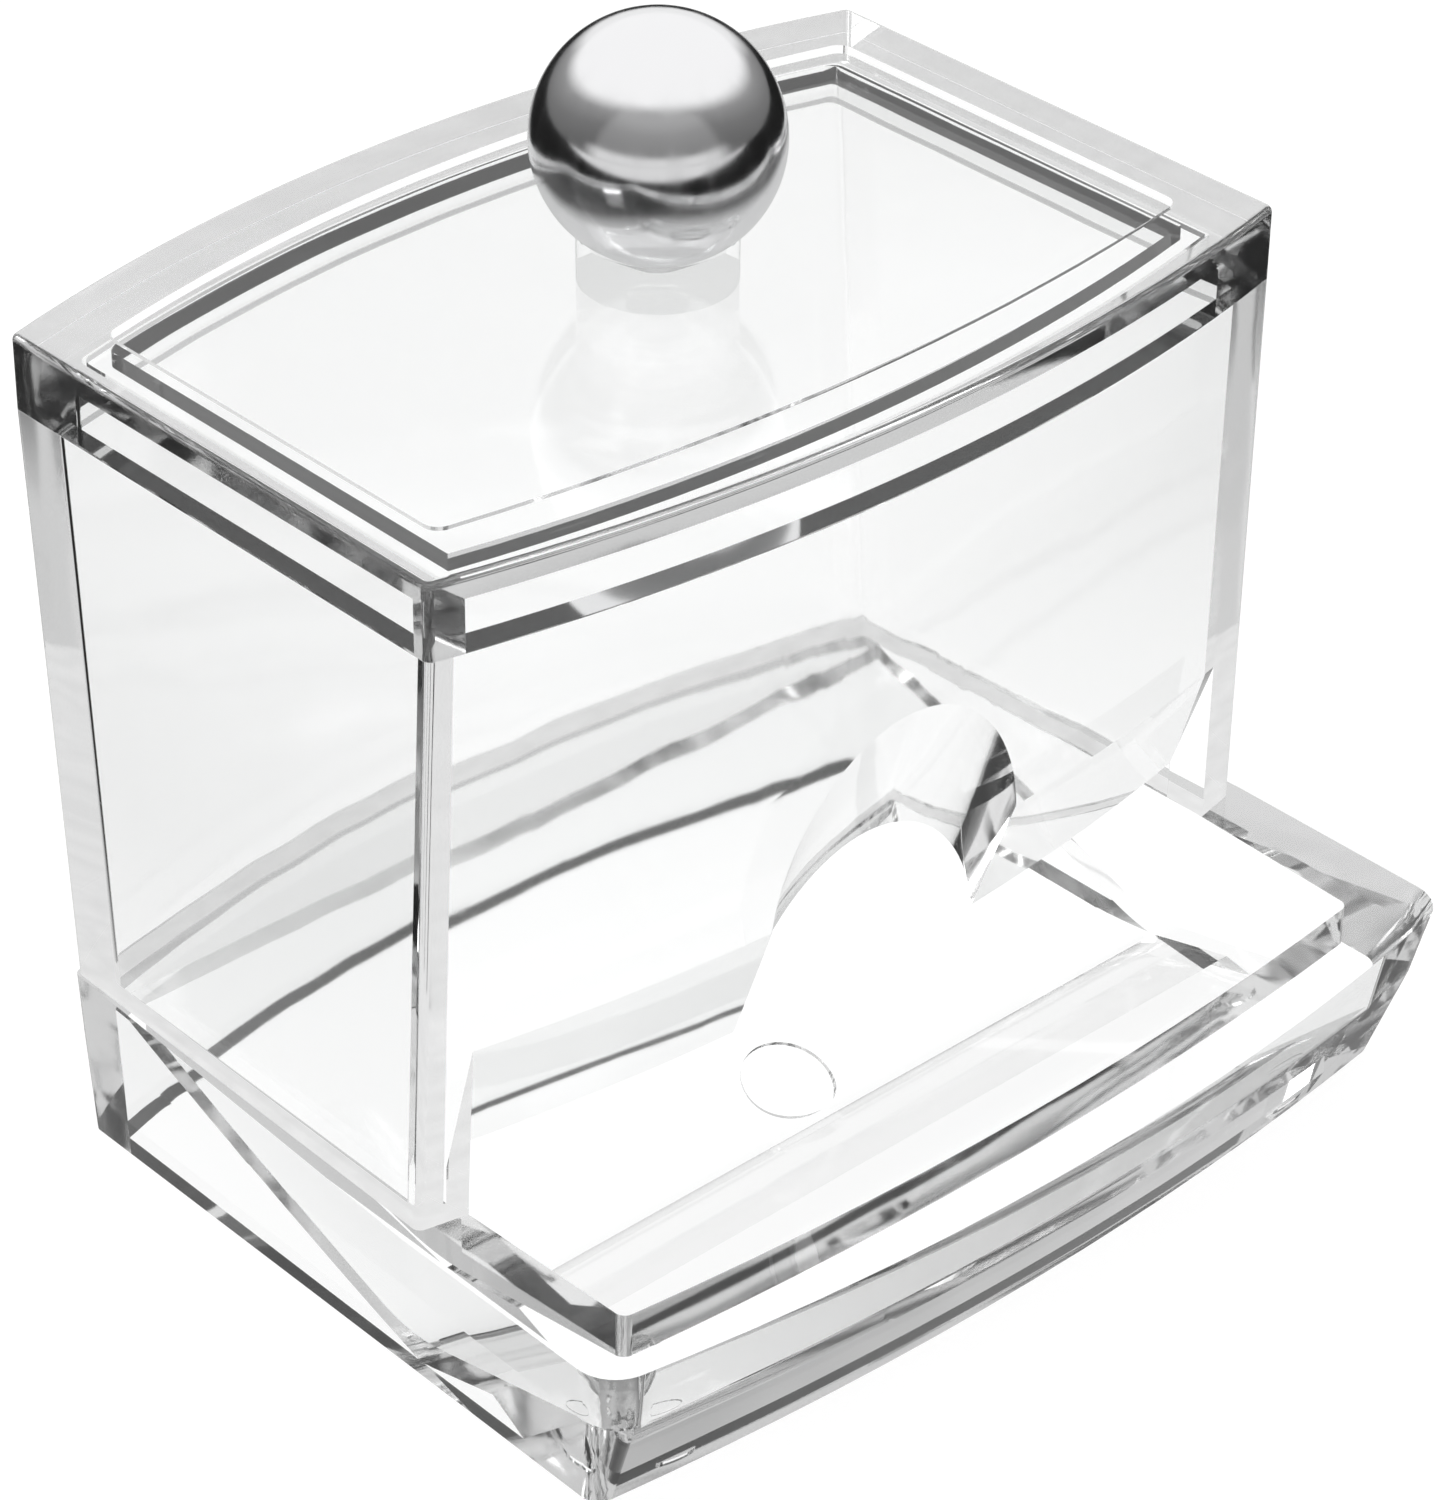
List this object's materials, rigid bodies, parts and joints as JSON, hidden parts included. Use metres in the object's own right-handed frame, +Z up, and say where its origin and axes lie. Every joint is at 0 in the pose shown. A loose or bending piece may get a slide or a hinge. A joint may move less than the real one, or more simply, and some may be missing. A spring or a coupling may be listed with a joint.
{
  "type": "cotton swab dispenser",
  "caption": "Clear acrylic cotton swab dispenser: bowed bin with a lift-off lid and ball knob, a front slot with a finger notch, and a ramp down to an open tray.",
  "frame": {"origin": "centre of the overall box at table height", "axes": "+Z up from the table, -Y to the tray and dispensing slot at the front, +X to the right as seen from the front"},
  "size_m": [0.098, 0.0864, 0.0991],
  "materials": {
    "clear_acrylic": "crystal clear, polished",
    "satin_plating": "satin silver plating"
  },
  "bodies": {
    "container": {"base": "clear_acrylic", "bin": "clear_acrylic"},
    "lid": {"lid": "clear_acrylic", "knob_collar": "clear_acrylic", "knob_ball": "satin_plating"}
  },
  "joints": [
    {"name": "lid_lift", "type": "slide", "parent": "container", "child": "lid", "axis": [0, 0, 1], "range_m": [0, 0.05]}
  ]
}
